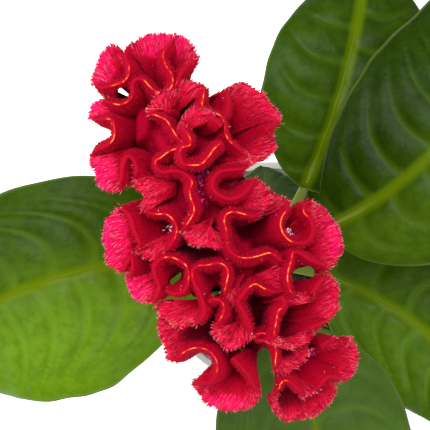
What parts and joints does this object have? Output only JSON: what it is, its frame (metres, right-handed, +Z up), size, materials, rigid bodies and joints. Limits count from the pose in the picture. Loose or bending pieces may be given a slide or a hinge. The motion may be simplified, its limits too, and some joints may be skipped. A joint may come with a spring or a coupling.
{
  "type": "potted cockscomb celosia",
  "caption": "Potted cockscomb: a ruffled velvety crimson comb on a flattened stem, with broad green leaves, in a plain round pot of soil.",
  "frame": {"origin": "centre of the pot's flat base, on the surface that it stands on", "axes": "+Z up; seen from above, +X points to the right and +Y to the top of the reference view"},
  "size_m": [0.2597, 0.2656, 0.3342],
  "materials": {
    "pot_plastic": "smooth off-white moulded plastic, satin",
    "potting_soil": "dark crumbly potting soil, matte",
    "green_stem": "ribbed pale green stem, satin",
    "velvet_comb": "crimson velvet of fine bristles with an orange-red ridge line",
    "green_leaf": "glossy deep green leaf with paler veins"
  },
  "bodies": {
    "root": {"pot": "pot_plastic", "soil": "potting_soil", "stem": "green_stem", "comb": "velvet_comb", "leaf_1": "green_leaf", "leaf_2": "green_leaf", "leaf_3": "green_leaf", "leaf_4": "green_leaf", "leaf_5": "green_leaf", "leaf_6": "green_leaf", "leaf_7": "green_leaf", "leaf_8": "green_leaf", "leaf_9": "green_leaf", "leaf_10": "green_leaf", "leaf_11": "green_leaf"}
  },
  "joints": []
}
